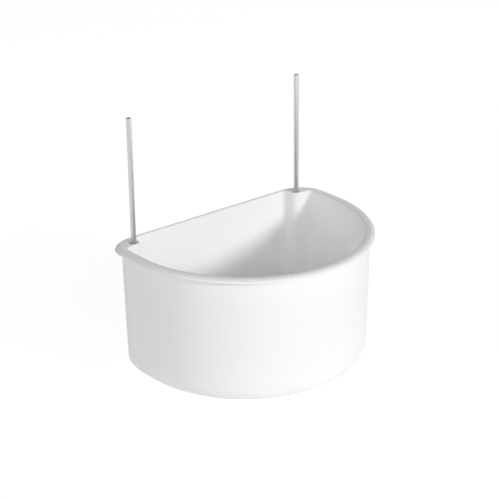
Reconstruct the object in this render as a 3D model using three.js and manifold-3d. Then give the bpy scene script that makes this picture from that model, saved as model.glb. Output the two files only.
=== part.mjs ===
// Half-moon cage feeder: a moulded cup with a flat back, and two straight wires that push into its rear
// corners. Millimetres, +Z up. The cup stands on z = 0, its flat back faces +Y, its round front faces -Y.
import * as THREE from "three";
import { mergeVertices } from "three/addons/utils/BufferGeometryUtils.js";
import Module from "manifold-3d";

// Cup, seen from above
const cupWidth = 100; // across the lip
const cupDepth = 72.4; // flat back to the front of the lip
const sideLength = 20; // flat back to where the round front begins, at the lip
const baseSideLength = 22; // the same, at the base
const cornerRadius = 12.5; // rear corners of the wall
const lipCornerRadius = 10.25; // rear corners of the lip

// Cup, seen from the side
const cupHeight = 51.7;
const wallThickness = 1.9;
const backThickness = 2;
const floorThickness = 2;
const wallDraft = 1.2; // how far the wall leans in from the lip to the base
const footRadius = 7; // rounding between the wall and the base
const lipOverhang = 2; // how far the lip stands out past the wall
const lipHeight = 2.3; // rim down to where the underside of the lip meets the wall
const rimFlat = 0.5; // level strip along the crown of the rim
const lipFall = 1.4; // how far the crown rounds down to the lip's outer edge
const throatFall = 0.5; // how far it rounds down to the inside of the wall
const backFlat = 0.1; // level strip along the top of the back, which is rounded on both sides of it

// Wires and the sockets that hold them
const wireDiameter = 2;
const wireFreeLength = 48.8; // above the rim
const wireInset = 9.5; // side of the lip to a wire's axis
const wireSetback = 5.8; // flat back to a wire's axis
const wireChamfer = 0.25;
const socketDepth = 38;
const socketClearance = 0.1; // all round the wire
const seatClearance = 0.2; // under the wire's foot
const mouthDiameter = 3.7; // tapered mouth of a socket
const mouthDepth = 7;
const columnSide = 2.6; // wire's axis to the column's inboard flank
const columnFront = 2.3; // wire's axis to the column's front face
const columnRound = 1.7; // rounding between that flank and that face
const columnBackFillet = 1.8; // hollow between the flank and the back wall
const columnSideFillet = 2; // hollow between the front face and the side wall

// Facets
const cornerSteps = 6;
const frontSteps = 40;
const roundSteps = 4;
const wireSides = 24;

const overcut = 1; // how far a cutting shape runs past the face that it opens
const quarterTurn = Math.PI / 2;
const backY = cupDepth / 2;
const wallTop = cupHeight - lipHeight;
const rimWidth = lipOverhang + wallThickness; // lip's outer edge to the inside of the wall
const rimRound = (rimWidth - rimFlat) / 2;
const backEdgeRound = (backThickness - backFlat) / 2;
const wireSpacing = cupWidth - 2 * wireInset; // axis to axis

const plastic = new THREE.MeshStandardMaterial({ color: 0xf3f3f2, roughness: 0.38, metalness: 0 });
const steel = new THREE.MeshStandardMaterial({ color: 0xb9b9b8, roughness: 0.32, metalness: 1 });

const wasm = await Module();
wasm.setup();

// A closed geometry as a solid that can be joined and cut.
function solid(geometry) {
  const bare = geometry.clone();
  bare.deleteAttribute("normal");
  bare.deleteAttribute("uv");
  const merged = mergeVertices(bare);
  return new wasm.Manifold(
    new wasm.Mesh({
      numProp: 3,
      vertProperties: new Float32Array(merged.attributes.position.array),
      triVerts: new Uint32Array(merged.index.array),
    }),
  );
}

// A solid back as flat-shaded geometry.
function geometryOf(body) {
  const mesh = body.getMesh();
  const shared = new THREE.BufferGeometry();
  shared.setAttribute("position", new THREE.BufferAttribute(mesh.vertProperties, 3));
  shared.setIndex(new THREE.BufferAttribute(mesh.triVerts, 1));
  const faceted = shared.toNonIndexed();
  faceted.computeVertexNormals();
  return faceted;
}

// A quarter round in equal steps: each entry says how far across and how far up the round it is, from 0 to 1.
function quarterRound() {
  const angles = Array.from({ length: roundSteps + 1 }, (_, i) => (quarterTurn * i) / roundSteps);
  return angles.map((angle) => ({ across: 1 - Math.cos(angle), up: Math.sin(angle) }));
}

// Sections of the wall's outside. Each is a D: its half width, its reach from the flat back to the front, the
// length of its straight sides, its rear corner radius, and how far its own back lies inside the flat back.
function wallSection(z) {
  const fall = 1 - z / wallTop;
  const lean = lipOverhang + wallDraft * fall;
  return {
    z,
    half: cupWidth / 2 - lean,
    reach: cupDepth - lean,
    side: sideLength + (baseSideLength - sideLength) * fall,
    corner: cornerRadius,
    back: 0,
  };
}

// Sections of the lip, measured inwards from its outer edge.
function lipSection(z, inset, back) {
  return {
    z,
    half: cupWidth / 2 - inset,
    reach: cupDepth - inset,
    side: sideLength,
    corner: lipCornerRadius + (cornerRadius - lipCornerRadius) * Math.min(inset / lipOverhang, 1),
    back,
  };
}

// A section drawn in all round by a distance, with its back drawn in by another.
function drawnIn(section, distance, back = distance) {
  return {
    ...section,
    half: section.half - distance,
    reach: section.reach - distance,
    back: section.back + back,
  };
}

// The D of a section as a ring of points, anticlockwise from above.
function ring({ z, half, reach, side, corner, back }) {
  const arc = (x, y, rx, ry, from, to, steps) =>
    new THREE.EllipseCurve(x, y, rx, ry, from, to).getPoints(steps);
  const cornerY = backY - back - corner;
  const outline = [
    ...arc(corner - half, cornerY, corner, corner, quarterTurn, Math.PI, cornerSteps),
    ...arc(0, backY - side, half, reach - side, Math.PI, 2 * Math.PI, frontSteps),
    ...arc(half - corner, cornerY, corner, corner, 0, quarterTurn, cornerSteps),
  ];
  return outline.map((point) => new THREE.Vector3(point.x, point.y, z));
}

// A closed solid lofted through sections from the lowest to the highest.
function loft(sections) {
  const rings = sections.map(ring);
  const count = rings[0].length;
  const index = [];
  for (let level = 0; level + 1 < rings.length; level++) {
    for (let i = 0; i < count; i++) {
      const next = (i + 1) % count;
      const low = level * count;
      const high = low + count;
      index.push(low + i, low + next, high + next, low + i, high + next, high + i);
    }
  }
  const top = (rings.length - 1) * count;
  for (const [a, b, c] of THREE.ShapeUtils.triangulateShape(rings[0], [])) {
    index.push(a, c, b);
  }
  for (const [a, b, c] of THREE.ShapeUtils.triangulateShape(rings.at(-1), [])) {
    index.push(top + a, top + b, top + c);
  }
  return solid(new THREE.BufferGeometry().setFromPoints(rings.flat()).setIndex(index));
}

// A turned shape about +Z from a profile of radius and height.
function turned(profile) {
  const points = profile.map(([radius, height]) => new THREE.Vector2(radius, height));
  return new THREE.LatheGeometry(points, wireSides).rotateX(quarterTurn);
}

// Outside of the cup: base, foot rounding, leaning wall, underside of the lip, outer half of its crown.
function cupBody() {
  const foot = quarterRound().map(({ across, up }) => {
    const drawn = footRadius * (1 - up);
    return drawnIn(wallSection(footRadius * across), drawn);
  });
  const crown = quarterRound().map(({ across, up }) => {
    const z = cupHeight - lipFall * (1 - up);
    return lipSection(z, rimRound * across, backEdgeRound * across);
  });
  return loft([...foot, wallSection(wallTop), ...crown]);
}

// Hollow of the cup with the inner half of the crown, run past the rim. It leaves the columns standing.
function cupHollow() {
  const radius = footRadius - wallThickness;
  const hollow = (z, drawn) => drawnIn(wallSection(z), wallThickness + drawn, backThickness + drawn);
  const inside = quarterRound().map(({ across, up }) => {
    return hollow(floorThickness + radius * across, radius * (1 - up));
  });
  const crown = quarterRound().map(({ across, up }) => {
    const z = cupHeight - throatFall * (1 - up);
    return lipSection(z, rimWidth - rimRound * across, backThickness - backEdgeRound * across);
  });
  const above = { ...crown.at(-1), z: cupHeight + overcut };
  const narrowed = [...inside, hollow(wallTop, 0), ...crown, above].map((section) => ({
    ...section,
    corner: section.corner - wallThickness,
  }));
  return [1, -1].reduce((left, side) => left.subtract(column(side)), loft(narrowed));
}

// Socket column in one rear corner (side is 1 for right, -1 for left), from the base to past the rim.
function column(side) {
  const flank = wireSpacing / 2 - columnSide;
  const face = backY - wireSetback - columnFront;
  const innerBack = backY - backThickness;
  const innerSide = wallSection(wallTop).half - wallThickness;
  const outerSide = cupWidth / 2;
  const outline = new THREE.Shape();
  const hollowArc = (x, y, radius) => outline.absarc(x - radius, y - radius, radius, quarterTurn, 0, true);
  const roundArc = (x, y, radius) =>
    outline.absarc(x + radius, y + radius, radius, Math.PI, Math.PI + quarterTurn, false);
  outline.moveTo(flank - columnBackFillet, backY);
  outline.lineTo(flank - columnBackFillet, innerBack);
  hollowArc(flank, innerBack, columnBackFillet);
  roundArc(flank, face, columnRound);
  hollowArc(innerSide, face, columnSideFillet);
  outline.lineTo(outerSide, face - columnSideFillet);
  outline.lineTo(outerSide, backY);
  const points = outline.getPoints(roundSteps).map((point) => new THREE.Vector2(side * point.x, point.y));
  const height = cupHeight + 2 * overcut;
  return solid(new THREE.ExtrudeGeometry(new THREE.Shape(points), { depth: height, bevelEnabled: false }));
}

// Blind socket with a tapered mouth, as the shape that it cuts away.
function socket(side) {
  const bore = wireDiameter / 2 + socketClearance;
  const mouth = mouthDiameter / 2;
  const cut = turned([
    [0, cupHeight - socketDepth],
    [bore, cupHeight - socketDepth],
    [bore, cupHeight - mouthDepth],
    [mouth, cupHeight],
    [mouth, cupHeight + overcut],
    [0, cupHeight + overcut],
  ]);
  return solid(cut.translate((side * wireSpacing) / 2, backY - wireSetback, 0));
}

function cup() {
  const hollowed = cupBody().subtract(cupHollow());
  const bored = [1, -1].reduce((left, side) => left.subtract(socket(side)), hollowed);
  const mesh = new THREE.Mesh(geometryOf(bored), plastic);
  mesh.name = "cup";
  return mesh;
}

// Straight wire standing in its socket, both cut ends lightly chamfered.
function wire(name, side) {
  const radius = wireDiameter / 2;
  const foot = cupHeight - socketDepth + seatClearance;
  const tip = cupHeight + wireFreeLength;
  const body = turned([
    [0, foot],
    [radius - wireChamfer, foot],
    [radius, foot + wireChamfer],
    [radius, tip - wireChamfer],
    [radius - wireChamfer, tip],
    [0, tip],
  ]);
  const mesh = new THREE.Mesh(geometryOf(solid(body)), steel);
  mesh.name = name;
  mesh.position.set((side * wireSpacing) / 2, backY - wireSetback, 0);
  return mesh;
}

const feeder = new THREE.Group();
feeder.add(cup(), wire("wire_left", -1), wire("wire_right", 1));

export default feeder;
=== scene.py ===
import math

import bpy
import numpy as np
from mathutils import Euler, Matrix, Vector


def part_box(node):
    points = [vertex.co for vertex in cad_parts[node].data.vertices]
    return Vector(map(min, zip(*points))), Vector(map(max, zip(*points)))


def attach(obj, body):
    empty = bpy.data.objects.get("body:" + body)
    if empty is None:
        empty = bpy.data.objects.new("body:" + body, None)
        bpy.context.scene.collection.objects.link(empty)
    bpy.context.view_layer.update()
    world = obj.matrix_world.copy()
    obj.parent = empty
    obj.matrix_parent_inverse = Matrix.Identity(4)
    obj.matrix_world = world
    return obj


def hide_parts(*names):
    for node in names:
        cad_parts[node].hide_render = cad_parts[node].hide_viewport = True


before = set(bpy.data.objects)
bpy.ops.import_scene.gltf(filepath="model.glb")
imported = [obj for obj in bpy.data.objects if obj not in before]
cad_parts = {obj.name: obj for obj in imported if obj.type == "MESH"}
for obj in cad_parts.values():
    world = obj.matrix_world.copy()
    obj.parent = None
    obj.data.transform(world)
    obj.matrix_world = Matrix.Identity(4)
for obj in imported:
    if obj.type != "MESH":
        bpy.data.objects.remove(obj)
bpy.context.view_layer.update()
mm = 0.001
print("frame loaded:", sorted(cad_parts))


# Mesh and material helpers

# Joins rows of points into one closed skin: rows run along the profile, points run anticlockwise round each
# row, and a single point closes each end.
def closedSkin(name, rows, firstPole, lastPole):
    rowCount, count, _ = rows.shape
    points = np.concatenate([rows.reshape(-1, 3), [firstPole], [lastPole]])
    cell = np.arange(count)
    nextCell = (cell + 1) % count
    low = np.arange(rowCount - 1)[:, None] * count
    quads = np.stack([low + cell, low + nextCell, low + count + nextCell, low + count + cell], axis=-1)
    lastRow = (rowCount - 1) * count
    firstFan = np.stack([np.full(count, rowCount * count), nextCell, cell], axis=-1)
    lastFan = np.stack([np.full(count, rowCount * count + 1), lastRow + cell, lastRow + nextCell], axis=-1)
    faces = quads.reshape(-1, 4).tolist() + firstFan.tolist() + lastFan.tolist()
    mesh = bpy.data.meshes.new(name)
    mesh.from_pydata((points * mm).tolist(), [], faces)
    mesh.validate()
    piece = bpy.data.objects.new(name, mesh)
    bpy.context.scene.collection.objects.link(piece)
    return piece


# A turned shape: each profile point (radius, height) swept round the upright axis through (x, y).
def turned(name, profile, axis, sides):
    radius, height = np.array(profile, float).T
    angle = np.arange(sides) * 2 * math.pi / sides
    ring = np.stack([np.cos(angle), np.sin(angle)], axis=-1)
    rows = np.empty((len(radius), sides, 3))
    rows[..., :2] = axis + radius[:, None, None] * ring
    rows[..., 2] = height[:, None]
    return closedSkin(name, rows, (*axis, height[0]), (*axis, height[-1]))


# Quarter of a round: angles from 0 to 90 degrees in equal steps.
def roundAngles(steps):
    return np.linspace(0, math.pi / 2, steps + 1)


# Evenly spaced values between two ends, without the ends.
def between(start, end, count):
    return np.linspace(start, end, count + 2)[1:-1]


def addNode(tree, kind, place, inputs=None, **settings):
    node = tree.nodes.new("ShaderNode" + kind)
    node.location = place
    for key, value in settings.items():
        setattr(node, key, value)
    for key, value in (inputs or {}).items():
        node.inputs[key].default_value = value
    return node


# Ramp from a dark shade to a light one between two levels.
def addRamp(tree, place, levels, shades):
    ramp = addNode(tree, "ValToRGB", place)
    for element, level, shade in zip(ramp.color_ramp.elements, levels, shades):
        element.position = level
        element.color = (*shade, 1)
    return ramp


def newMaterial(name):
    material = bpy.data.materials.new(name)
    material.use_nodes = True
    tree = material.node_tree
    tree.nodes.clear()
    output = addNode(tree, "OutputMaterial", (900, 0))
    return material, tree, output


# Camera: placed where the photograph was taken from, in millimetres of the shared frame and degrees
cameraView = {
    "eye": (-368.769, -433.386, 287.492),
    "tilt": 67.0872,  # up from straight down
    "roll": 0.6064,
    "pan": -39.9347,  # from straight at the flat back, anticlockwise from above
    "lens": 118.192,
    "sensor": 36.0,
    "nearest": 0.01,  # metres
    "farthest": 50.0,
}
cameraData = bpy.data.cameras.new("camera")
cameraData.lens = cameraView["lens"]
cameraData.sensor_width = cameraView["sensor"]
cameraData.clip_start = cameraView["nearest"]
cameraData.clip_end = cameraView["farthest"]
camera = bpy.data.objects.new("camera", cameraData)
bpy.context.scene.collection.objects.link(camera)
cameraTurn = Euler([math.radians(cameraView[angle]) for angle in ("tilt", "roll", "pan")])
camera.matrix_world = Matrix.LocRotScale(Vector(cameraView["eye"]) * mm, cameraTurn, None)
bpy.context.scene.camera = camera
print("camera placed")


# Cup
cupShape = {
    "sideLength": 20.0,  # flat back to where the round front begins, at the lip
    "baseSideLength": 22.0,  # the same at the base
    "cornerRadius": 12.5,  # rear corners of the wall
    "lipCornerRadius": 10.25,  # rear corners of the lip
    "wallThickness": 1.9,
    "backThickness": 2.0,
    "floorThickness": 2.0,
    "wallDraft": 1.2,  # lean of the wall between lip and base
    "footRadius": 7.0,
    "lipOverhang": 2.0,
    "lipHeight": 2.3,  # rim down to where the underside of the lip meets the wall
    "underLean": 0.5,  # share of the underside's height that is nearly upright at each end
    "rollWidth": 1.7,  # crown of the rim out to the lip's outer edge
    "rollFall": 1.4,  # how far the crown rolls down to that edge
    "rollTop": 0.3,  # share of the roll's width that is nearly level
    "rollEdge": 0.55,  # share of its fall that is nearly upright
    "throatRound": 2.0,  # crown of the rim in to the inside of the wall
    "throatFall": 0.5,  # how far the crown rounds down to it
    "backEdgeRound": 0.95,  # both edges along the top of the back
    "columnSide": 2.6,  # wire's axis to the column's inboard flank
    "columnFront": 2.3,  # wire's axis to the column's front face
    "columnRound": 1.7,
    "columnBackFillet": 1.8,
    "columnSideFillet": 2.0,
    "columnTopRound": 0.35,
    "columnFootRound": 1.5,
    "sharpAngle": 38.0,  # edges that turn by more degrees than this stay crisp
    "rays": 300,  # points on half an outline
    "raySamples": 4001,  # directions that the rays are chosen from
    "bendWeight": 7.0,  # length that one radian of turning counts for
    "frontSamples": 900,  # points along each stretch of an outline, before the rays cross it
    "sideSamples": 60,
    "cornerSamples": 400,
    "backSamples": 500,
    "roundSteps": 10,  # rows of points on a foot rounding, and on the throat
    "lipSteps": 14,  # on the underside of the lip, and on its roll
    "outsideRows": 10,
    "insideRows": 14,
    "crownRows": 4,
    "discSteps": 7,  # rings across the base, and across the floor
    "discRadius": 2.0,  # the smallest of them
}
cupLow, cupHigh = (np.array(corner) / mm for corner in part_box("cup"))
wireLow, wireHigh = (np.array(corner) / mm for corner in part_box("wire_right"))
cupHalf = (cupHigh[0] - cupLow[0]) / 2
cupDepth = cupHigh[1] - cupLow[1]
cupHeight = cupHigh[2]
backY = cupHigh[1]
wireX, wireY = (wireLow[:2] + wireHigh[:2]) / 2
rimWidth = cupShape["lipOverhang"] + cupShape["wallThickness"]
middle = np.array([0.0, 4.0])  # point that all outlines are measured from
roundToBlend = 1.66  # an inner corner blended over this much length looks rounded by 1
edgeToBlend = 3.2  # the same for an outer edge
tiny = 1e-6
outOfReach = 1e6  # distance along a ray that never meets a face


# Points along a straight line, row by row: every argument is a column of one value per row.
def linePoints(x0, y0, x1, y1, steps):
    t = np.linspace(0, 1, steps)
    return x0 + (x1 - x0) * t, y0 + (y1 - y0) * t


# Points along an arc of an upright ellipse, row by row: its middle plus its radii times cosine and sine.
def arcPoints(x, y, radiusX, radiusY, start, end, steps):
    angle = np.radians(np.linspace(start, end, steps))
    return x + radiusX * np.cos(angle), y + radiusY * np.sin(angle)


# Right half of a D, front to back: quarter ellipse, straight side, corner arc, straight back.
def halfOutline(section):
    names = ("half", "reach", "side", "corner", "back")
    half, reach, side, corner, back = (section[key][:, None] for key in names)
    rear, sideY = backY - back, backY - side
    cornerX, cornerY = half - corner, rear - corner
    parts = [
        arcPoints(0, sideY, half, reach - side, -90, 0, cupShape["frontSamples"]),
        linePoints(half, sideY, half, cornerY, cupShape["sideSamples"]),
        arcPoints(cornerX, cornerY, corner, corner, 0, 90, cupShape["cornerSamples"]),
        linePoints(cornerX, rear, 0, rear, cupShape["backSamples"]),
    ]
    return [np.concatenate(axis, axis=1) for axis in zip(*parts)]


# Distance from the middle to the D along each ray, read off the outline's own polar angle.
def outlineReach(section, rays):
    outline = halfOutline(section)
    x, y = outline[0] - middle[0], outline[1] - middle[1]
    angle, distance = np.arctan2(y, x), np.hypot(x, y)
    return np.stack([np.interp(rays, a, d) for a, d in zip(angle, distance)])


# The lesser of two distances, with the step between them rounded over the width of blend.
def softMin(first, second, blend):
    overlap = np.maximum(blend - np.abs(first - second), 0) / blend
    return np.minimum(first, second) - overlap**2 * blend / 4


# Inside: the D, stopped short by the column in the corner. The column begins where a ray is past both its
# flank and its front face, so the greater of those two distances, rounded at its edge.
def insideReach(section, rays):
    drawn = section["drawn"][:, None]
    across, along = np.cos(rays), np.sin(rays)
    flankX = wireX - cupShape["columnSide"] - drawn - middle[0]
    faceY = wireY - cupShape["columnFront"] - drawn - middle[1]
    flank = flankX / np.maximum(across, tiny)
    face = np.where(along > tiny, faceY / np.maximum(along, tiny), outOfReach)
    column = -softMin(-flank, -face, edgeToBlend * (cupShape["columnRound"] + drawn))
    fillet = np.where(flank > face, cupShape["columnBackFillet"], cupShape["columnSideFillet"])
    return softMin(outlineReach(section, rays), column, roundToBlend * fillet)


# Rays crowd where an outline bends: equal steps of length plus a share of the turning of both outlines.
def spreadRays(outside, inside, count):
    grid = np.linspace(-math.pi / 2, math.pi / 2, cupShape["raySamples"])
    total = np.zeros_like(grid)
    for distance in (outlineReach(outside, grid)[0], insideReach(inside, grid)[0]):
        dx, dy = np.diff(distance * np.cos(grid)), np.diff(distance * np.sin(grid))
        heading = np.unwrap(np.arctan2(dy, dx))
        length = np.concatenate([[0], np.hypot(dx, dy)])
        turning = np.concatenate([[0], np.abs(np.diff(heading)), [0]])
        total += np.cumsum(length + cupShape["bendWeight"] * turning)
    return np.interp(np.linspace(total[0], total[-1], count + 1), total, grid)


# Sections of the wall's outside by height: its lean and its straight side change evenly from lip to base.
def wallSections(z):
    fall = np.maximum(1 - z / (cupHeight - cupShape["lipHeight"]), 0)
    lean = cupShape["lipOverhang"] + cupShape["wallDraft"] * fall
    side = cupShape["sideLength"] + (cupShape["baseSideLength"] - cupShape["sideLength"]) * fall
    return {
        "z": z,
        "half": cupHalf - lean,
        "reach": cupDepth - lean,
        "side": side,
        "corner": np.full_like(z, cupShape["cornerRadius"]),
        "back": np.zeros_like(z),
        "drawn": np.zeros_like(z),
    }


# Sections of the lip by height and by distance in from its outer edge, where the corner is the lip's own. It
# passes into the wall's corner over the width of the overhang.
def lipSections(z, inset, back):
    ease = np.minimum(inset / cupShape["lipOverhang"], 1)
    return {
        "z": z,
        "half": cupHalf - inset,
        "reach": cupDepth - inset,
        "side": np.full_like(z, cupShape["sideLength"]),
        "corner": (1 - ease) * cupShape["lipCornerRadius"] + ease * cupShape["cornerRadius"],
        "back": back,
        "drawn": np.zeros_like(z),
    }


# Sections drawn in by a distance, with their own distances for the flat back and for the columns.
def drawnIn(section, distance, back, drawn):
    moved = dict(section)
    moved["half"] = section["half"] - distance
    moved["reach"] = section["reach"] - distance
    moved["back"] = section["back"] + back
    moved["drawn"] = section["drawn"] + drawn
    return moved


# Runs of sections, one after the other, as a single run.
def stacked(*sections):
    return {key: np.concatenate([section[key] for section in sections]) for key in sections[0]}


# Cubic curve between two points, given the directions in which it leaves and arrives.
def easedCurve(start, startWay, end, endWay, steps):
    t = np.linspace(0, 1, steps + 1)[:, None]
    start, end = np.array(start), np.array(end)
    inner, outer = start + np.array(startWay), end - np.array(endWay)
    return (1 - t) ** 3 * start + 3 * (1 - t) ** 2 * t * inner + 3 * (1 - t) * t**2 * outer + t**3 * end


# Outside of the cup by height: foot rounding, leaning wall, underside of the lip, and the roll from the lip's
# edge up to the crown, which is a cubic that starts upright and ends level.
def outsideSections():
    foot = cupShape["footRadius"]
    angle = roundAngles(cupShape["roundSteps"])
    footIn = foot * (1 - np.sin(angle))
    footPart = drawnIn(wallSections(foot * (1 - np.cos(angle))), footIn, footIn, 0)
    wallTop = cupHeight - cupShape["lipHeight"]
    wallPart = wallSections(between(foot, wallTop, cupShape["outsideRows"]))
    width, fall = cupShape["rollWidth"], cupShape["rollFall"]
    edgeZ = cupHeight - fall
    lean = (0, cupShape["underLean"] * (edgeZ - wallTop))
    under = easedCurve((cupShape["lipOverhang"], wallTop), lean, (0, edgeZ), lean, cupShape["lipSteps"])[:-1]
    underPart = lipSections(under[:, 1], under[:, 0], np.zeros(len(under)))
    upright, level = (0, cupShape["rollEdge"] * fall), (cupShape["rollTop"] * width, 0)
    roll = easedCurve((0, edgeZ), upright, (width, cupHeight), level, cupShape["lipSteps"])
    rollPart = lipSections(roll[:, 1], roll[:, 0], cupShape["backEdgeRound"] * roll[:, 0] / width)
    return stacked(footPart, wallPart, underPart, rollPart)


# Inside of the cup by height, rim downwards: inner half of the crown, wall, foot rounding. All but the wall
# are quarter rounds, and the columns flare by another where they meet the floor.
def insideSections():
    wall, back = cupShape["wallThickness"], cupShape["backThickness"]
    angle = roundAngles(cupShape["roundSteps"])[::-1]
    across, fall = 1 - np.cos(angle), 1 - np.sin(angle)
    crownZ = cupHeight - cupShape["throatFall"] * fall
    inset = rimWidth - cupShape["throatRound"] * across
    crownPart = lipSections(crownZ, inset, back - cupShape["backEdgeRound"] * across)
    crownPart["drawn"] = -cupShape["columnTopRound"] * across
    foot = cupShape["footRadius"] - wall
    floor = cupShape["floorThickness"]
    wallPart = wallSections(between(crownZ[-1], floor + foot, cupShape["insideRows"]))
    wallPart = drawnIn(wallPart, wall, back, 0)
    footPart = wallSections(floor + foot * across)
    columnFoot = cupShape["columnFootRound"]
    lift = np.maximum(columnFoot - (footPart["z"] - floor), 0)
    flare = columnFoot - np.sqrt(columnFoot**2 - lift**2)
    footPart = drawnIn(footPart, wall + foot * fall, back + foot * fall, flare)
    inside = stacked(crownPart, wallPart, footPart)
    inside["corner"] = inside["corner"] - wall
    return inside


# Whole rows of points from distances along the rays: the right half, then its mirror image.
def ringRows(distance, z, rays):
    x = middle[0] + distance * np.cos(rays)
    y = middle[1] + distance * np.sin(rays)
    right = np.stack([x, y, np.broadcast_to(np.reshape(z, (-1, 1)), x.shape)], axis=-1)
    left = right[:, -2:0:-1] * (-1, 1, 1)
    return np.concatenate([right, left], axis=1)


# Rings that shrink in equal steps from an outline to a small circle at the middle.
def discDistances(outline):
    smallest = cupShape["discRadius"]
    share = np.linspace(1, 0, cupShape["discSteps"] + 1)[1:, None]
    return smallest + (outline - smallest) * share


# The cup is one skin: base, outside, over the rim, inside, floor.
def makeCup():
    outside, inside = outsideSections(), insideSections()
    wallRow = cupShape["roundSteps"] + 1
    rim = {key: value[-1:] for key, value in outside.items()}
    throat = {key: value[wallRow:wallRow + 1] for key, value in inside.items()}
    rays = spreadRays(rim, throat, cupShape["rays"])
    outReach, inReach = outlineReach(outside, rays), insideReach(inside, rays)
    top = outReach[-1] + (inReach[0] - outReach[-1]) * between(0, 1, cupShape["crownRows"])[:, None]
    under = discDistances(outReach[0])[::-1]
    floor = discDistances(inReach[-1])
    floorZ = cupShape["floorThickness"]
    parts = [
        (under, np.zeros(len(under))),
        (outReach, outside["z"]),
        (top, np.full(len(top), cupHeight)),
        (inReach, inside["z"]),
        (floor, np.full(len(floor), floorZ)),
    ]
    distance, z = (np.concatenate(values) for values in zip(*parts))
    return closedSkin("cup_shell", ringRows(distance, z, rays), (*middle, 0), (*middle, floorZ))


# Sockets: blind holes with a tapered mouth, cut into the two columns
socketShape = {
    "depth": 38.0,
    "bore": 1.1,  # radius
    "mouth": 1.85,  # radius at the rim
    "mouthDepth": 7.0,
    "edgeWidth": 0.25,  # broken edge of the mouth
    "edgeFall": 0.22,
    "overcut": 0.25,  # how far the cut runs past the rim
    "overcutFlare": 0.5,
    "sides": 48,
}


# The cut is turned about the wire's axis: bore, taper, broken edge, and a flare above the rim.
def cutSockets(piece):
    bore, mouth = socketShape["bore"], socketShape["mouth"]
    profile = [
        (bore, cupHeight - socketShape["depth"]),
        (bore, cupHeight - socketShape["mouthDepth"]),
        (mouth - socketShape["edgeWidth"], cupHeight - socketShape["edgeFall"]),
        (mouth, cupHeight),
        (mouth + socketShape["overcutFlare"], cupHeight + socketShape["overcut"]),
    ]
    for side in (1, -1):
        cutter = turned("socket_cut", profile, (side * wireX, wireY), socketShape["sides"])
        cut = piece.modifiers.new("socket", "BOOLEAN")
        cut.object = cutter
        cut.operation = "DIFFERENCE"
        cut.solver = "EXACT"
        bpy.context.view_layer.update()
        finished = piece.evaluated_get(bpy.context.evaluated_depsgraph_get())
        finishedMesh = bpy.data.meshes.new_from_object(finished)
        piece.modifiers.clear()
        piece.data = finishedMesh
        bpy.data.objects.remove(cutter)
    piece.data.name = piece.name


plasticFinish = {
    "shade": (0.955, 0.955, 0.952),
    "shadeDark": (0.945, 0.945, 0.941),
    "roughness": (0.46, 0.56),
    "specular": 0.2,
    "driftScale": 34.0,
    "driftDetail": 3.0,
    "driftLevels": (0.3, 0.7),  # noise levels of the dark and the light shade
    "grainScale": 2600.0,
    "grainDetail": 2.0,
    "grainStrength": 0.35,
    "grainDepth": 0.000012,
}


# White satin moulding: a very fine moulded grain, and slow drifts in shade and gloss.
def makePlastic():
    finish = plasticFinish
    material, tree, output = newMaterial("satin_white_plastic")
    shader = addNode(tree, "BsdfPrincipled", (600, 0), {"Specular IOR Level": finish["specular"]})
    place = addNode(tree, "TexCoord", (-700, 0))
    driftInputs = {"Scale": finish["driftScale"], "Detail": finish["driftDetail"]}
    drift = addNode(tree, "TexNoise", (-450, 200), driftInputs)
    shade = addRamp(tree, (-200, 250), finish["driftLevels"], (finish["shadeDark"], finish["shade"]))
    gloss = addNode(tree, "MapRange", (-200, 0), dict(zip(("To Min", "To Max"), finish["roughness"])))
    grainInputs = {"Scale": finish["grainScale"], "Detail": finish["grainDetail"]}
    grain = addNode(tree, "TexNoise", (-450, -250), grainInputs)
    bumpInputs = {"Strength": finish["grainStrength"], "Distance": finish["grainDepth"]}
    bump = addNode(tree, "Bump", (200, -250), bumpInputs)
    tree.links.new(place.outputs["Object"], drift.inputs["Vector"])
    tree.links.new(place.outputs["Object"], grain.inputs["Vector"])
    tree.links.new(drift.outputs["Fac"], shade.inputs["Fac"])
    tree.links.new(drift.outputs["Fac"], gloss.inputs["Value"])
    tree.links.new(grain.outputs["Fac"], bump.inputs["Height"])
    tree.links.new(shade.outputs["Color"], shader.inputs["Base Color"])
    tree.links.new(gloss.outputs["Result"], shader.inputs["Roughness"])
    tree.links.new(bump.outputs["Normal"], shader.inputs["Normal"])
    tree.links.new(shader.outputs["BSDF"], output.inputs["Surface"])
    return material


cupShell = makeCup()
cutSockets(cupShell)
cupShell.data.shade_smooth()
cupShell.data.set_sharp_from_angle(angle=math.radians(cupShape["sharpAngle"]))
cupShell.data.materials.clear()
cupShell.data.materials.append(makePlastic())
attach(cupShell, "cup")
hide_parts("cup")
print("cup made:", len(cupShell.data.vertices), "points")


# Wires: straight drawn steel, both ends cut square and lightly broken
wireShape = {
    "endRound": 0.22,
    "endRing": 0.4,  # share of the radius at which a ring of points crosses each cut end
    "roundSteps": 5,
    "shankRows": 6,
    "sides": 40,
}
steelFinish = {
    "shade": (0.70, 0.70, 0.695),
    "shadeDark": (0.51, 0.51, 0.51),
    # painted shade: the flat cut ends are painted near black, a painted dark reflection
    "tipPaintedShade": (0.1, 0.1, 0.1),
    "tipShadeDepth": (0.08, 0.01),  # below the tip, where the shade of the cut end begins and is full
    "roughness": (0.28, 0.44),
    "streakScale": 1500.0,
    "streakDetail": 3.0,
    "streakLevels": (0.32, 0.68),  # noise levels of the dark and the light shade
    "streakStretch": 0.012,  # streaks run this much slower along the wire
    "streakStrength": 0.2,
    "streakDepth": 0.00003,
}
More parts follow.
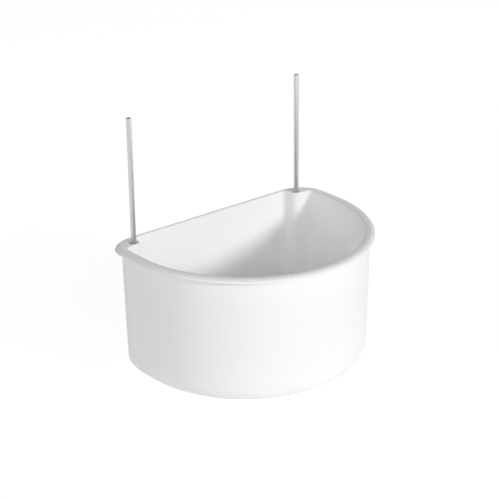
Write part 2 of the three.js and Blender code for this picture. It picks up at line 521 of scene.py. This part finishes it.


# Drawn steel: fine streaks along the wire in shade, gloss and relief, and cut ends painted near black, a
# painted dark reflection on the flat tips.
def makeSteel(name, tip):
    finish = steelFinish
    material, tree, output = newMaterial(name)
    shader = addNode(tree, "BsdfPrincipled", (600, 0), {"Metallic": 1.0})
    place = addNode(tree, "TexCoord", (-1000, 0))
    stretch = addNode(tree, "Mapping", (-800, 0), {"Scale": (1, 1, finish["streakStretch"])})
    streakInputs = {"Scale": finish["streakScale"], "Detail": finish["streakDetail"]}
    streak = addNode(tree, "TexNoise", (-600, 100), streakInputs)
    shade = addRamp(tree, (-350, 200), finish["streakLevels"], (finish["shadeDark"], finish["shade"]))
    gloss = addNode(tree, "MapRange", (-350, -100), dict(zip(("To Min", "To Max"), finish["roughness"])))
    split = addNode(tree, "SeparateXYZ", (-600, -350))
    # Painted shade on the cut end: the base colour turns near black just below the tip, a painted dark
    # reflection on the flat end.
    tipShadeStart, tipShadeFull = ((tip - depth) * mm for depth in finish["tipShadeDepth"])
    tipShadeInputs = {"From Min": tipShadeStart, "From Max": tipShadeFull}
    tipShadeMask = addNode(tree, "MapRange", (-350, -350), tipShadeInputs, interpolation_type="SMOOTHSTEP")
    colour = addNode(tree, "Mix", (100, 200), data_type="RGBA")
    colour.inputs["B"].default_value = (*finish["tipPaintedShade"], 1)
    bumpInputs = {"Strength": finish["streakStrength"], "Distance": finish["streakDepth"]}
    bump = addNode(tree, "Bump", (300, -300), bumpInputs)
    tree.links.new(place.outputs["Object"], stretch.inputs["Vector"])
    tree.links.new(stretch.outputs["Vector"], streak.inputs["Vector"])
    tree.links.new(place.outputs["Object"], split.inputs["Vector"])
    tree.links.new(split.outputs["Z"], tipShadeMask.inputs["Value"])
    tree.links.new(streak.outputs["Fac"], shade.inputs["Fac"])
    tree.links.new(streak.outputs["Fac"], gloss.inputs["Value"])
    tree.links.new(streak.outputs["Fac"], bump.inputs["Height"])
    tree.links.new(shade.outputs["Color"], colour.inputs["A"])
    tree.links.new(tipShadeMask.outputs["Result"], colour.inputs["Factor"])
    tree.links.new(colour.outputs["Result"], shader.inputs["Base Color"])
    tree.links.new(gloss.outputs["Result"], shader.inputs["Roughness"])
    tree.links.new(bump.outputs["Normal"], shader.inputs["Normal"])
    tree.links.new(shader.outputs["BSDF"], output.inputs["Surface"])
    return material


# A wire is turned: flat foot, rounded edge, straight shank, rounded edge, flat tip.
def makeWire(node, steel):
    low, high = (np.array(corner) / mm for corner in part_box(node))
    axis = (low[:2] + high[:2]) / 2
    radius = (high[0] - low[0]) / 2
    edge = wireShape["endRound"]
    angle = roundAngles(wireShape["roundSteps"])
    lowEdge = np.stack([radius - edge + edge * np.sin(angle), low[2] + edge * (1 - np.cos(angle))], axis=-1)
    highEdge = np.stack([radius - edge + edge * np.cos(angle), high[2] - edge * (1 - np.sin(angle))], axis=-1)
    shankZ = between(low[2] + edge, high[2] - edge, wireShape["shankRows"])
    shank = np.stack([np.full_like(shankZ, radius), shankZ], axis=-1)
    foot, tip = ([(radius * wireShape["endRing"], z)] for z in (low[2], high[2]))
    profile = np.concatenate([foot, lowEdge, shank, highEdge, tip])
    piece = turned(node + "_rod", profile, axis, wireShape["sides"])
    piece.data.shade_smooth()
    piece.data.materials.append(steel)
    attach(piece, node)
    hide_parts(node)


drawnSteel = makeSteel("drawn_steel", wireHigh[2])
for node in ("wire_left", "wire_right"):
    makeWire(node, drawnSteel)
print("wires made")


# Floor and light: a pale floor that meets a white background, a soft key lamp from the front right at a low
# angle, two wide fills from the left, and an even ring of light half way up all round
studio = {
    "floorSize": 6.0,
    "floorDrop": 0.0001,  # keeps the floor just clear of the base
    "floorShade": 0.9,
    "floorSeen": 0.3,  # share of light and shadow that shows on the floor
    "floorWhite": 0.87,  # plain white that the camera sees under it
    "floorGlow": 0.04,  # light that the white floor gives the object from below
    "ringLevel": 1.09,
    "ringMiddle": 0.45,  # sine of the ring's height
    "ringHalf": 0.15,
    "bounces": 12,  # light passes many times between white walls
    "key": {"energy": 11.0, "size": 0.24, "azimuth": 14, "elevation": 20, "distance": 1.6, "shine": True},
    "fill": {"energy": 5.1, "size": 1.2, "azimuth": -40, "elevation": 24, "distance": 1.6, "shine": False},
    "side": {"energy": 4.3, "size": 1.2, "azimuth": -100, "elevation": 8, "distance": 1.6, "shine": False},
}
white = (1, 1, 1, 1)


# Lamp on a sphere round the object: azimuth 0 is in front of the round side, 90 to its right.
def addLamp(name, settings):
    light = bpy.data.lights.new(name, "AREA")
    light.energy = settings["energy"]
    light.size = settings["size"]
    lamp = bpy.data.objects.new(name, light)
    azimuth, elevation = math.radians(settings["azimuth"]), math.radians(settings["elevation"])
    flat = math.cos(elevation)
    way = np.array([math.sin(azimuth) * flat, -math.cos(azimuth) * flat, math.sin(elevation)])
    right = np.cross((0, 0, 1), way)
    right /= np.linalg.norm(right)
    facing = Matrix((right, np.cross(way, right), way)).transposed().to_4x4()
    facing.translation = way * settings["distance"] + (0, 0, cupHeight * mm / 2)
    lamp.matrix_world = facing
    lamp.visible_glossy = settings["shine"]
    bpy.context.scene.collection.objects.link(lamp)


# 1 for a ray that shows the background itself: from the camera, a reflection or a clear body.
def seenRay(tree, x):
    ray = addNode(tree, "LightPath", (x, 0))
    either = addNode(tree, "Math", (x + 200, 0), operation="MAXIMUM")
    seen = addNode(tree, "Math", (x + 400, 0), operation="MAXIMUM")
    tree.links.new(ray.outputs["Is Camera Ray"], either.inputs[0])
    tree.links.new(ray.outputs["Is Glossy Ray"], either.inputs[1])
    tree.links.new(either.outputs["Value"], seen.inputs[0])
    tree.links.new(ray.outputs["Is Transmission Ray"], seen.inputs[1])
    return seen.outputs["Value"]


# The floor is matt, with a plain white under its light and shadow for a ray that shows the background.
def makeFloor():
    size = studio["floorSize"]
    corners = [(-size, -size, 0), (size, -size, 0), (size, size, 0), (-size, size, 0)]
    mesh = bpy.data.meshes.new("floor")
    mesh.from_pydata(corners, [], [(0, 1, 2, 3)])
    floor = bpy.data.objects.new("floor", mesh)
    floor.location = (0, 0, -studio["floorDrop"])
    bpy.context.scene.collection.objects.link(floor)
    material, tree, output = newMaterial("floor_white")
    seen = seenRay(tree, -700)
    shade = addNode(tree, "Mix", (0, 200), data_type="RGBA")
    shade.inputs["A"].default_value = (studio["floorShade"],) * 3 + (1,)
    shade.inputs["B"].default_value = (studio["floorSeen"],) * 3 + (1,)
    matt = addNode(tree, "BsdfDiffuse", (200, 150))
    levelInputs = {1: studio["floorWhite"] - studio["floorGlow"], 2: studio["floorGlow"]}
    level = addNode(tree, "Math", (0, -150), levelInputs, operation="MULTIPLY_ADD")
    plain = addNode(tree, "Emission", (200, -100))
    both = addNode(tree, "AddShader", (500, 0))
    tree.links.new(seen, shade.inputs["Factor"])
    tree.links.new(seen, level.inputs[0])
    tree.links.new(shade.outputs["Result"], matt.inputs["Color"])
    tree.links.new(level.outputs["Value"], plain.inputs["Strength"])
    tree.links.new(matt.outputs["BSDF"], both.inputs[0])
    tree.links.new(plain.outputs["Emission"], both.inputs[1])
    tree.links.new(both.outputs["Shader"], output.inputs["Surface"])
    mesh.materials.append(material)


# The world lights the object by the ring alone, and is plain white for a ray that shows the background.
def makeWorld():
    world = bpy.data.worlds.new("studio")
    bpy.context.scene.world = world
    world.use_nodes = True
    tree = world.node_tree
    tree.nodes.clear()
    output = addNode(tree, "OutputWorld", (800, 0))
    way = addNode(tree, "TexCoord", (-400, 300))
    split = addNode(tree, "SeparateXYZ", (-200, 300))
    ringInputs = {1: studio["ringMiddle"], 2: studio["ringHalf"]}
    ring = addNode(tree, "Math", (0, 300), ringInputs, operation="COMPARE")
    level = addNode(tree, "Math", (150, 300), {1: studio["ringLevel"]}, operation="MULTIPLY")
    around = addNode(tree, "Background", (300, 200), {"Color": white})
    plain = addNode(tree, "Background", (300, -100), {"Color": white})
    mix = addNode(tree, "MixShader", (600, 0))
    tree.links.new(way.outputs["Generated"], split.inputs["Vector"])
    tree.links.new(split.outputs["Z"], ring.inputs[0])
    tree.links.new(ring.outputs["Value"], level.inputs[0])
    tree.links.new(level.outputs["Value"], around.inputs["Strength"])
    tree.links.new(seenRay(tree, -400), mix.inputs["Fac"])
    tree.links.new(around.outputs["Background"], mix.inputs[1])
    tree.links.new(plain.outputs["Background"], mix.inputs[2])
    tree.links.new(mix.outputs["Shader"], output.inputs["Surface"])


makeFloor()
makeWorld()
for lampName in ("key", "fill", "side"):
    addLamp(lampName, studio[lampName])
bpy.context.scene.view_settings.view_transform = "Standard"
bpy.context.scene.cycles.diffuse_bounces = studio["bounces"]
print("floor and light set")
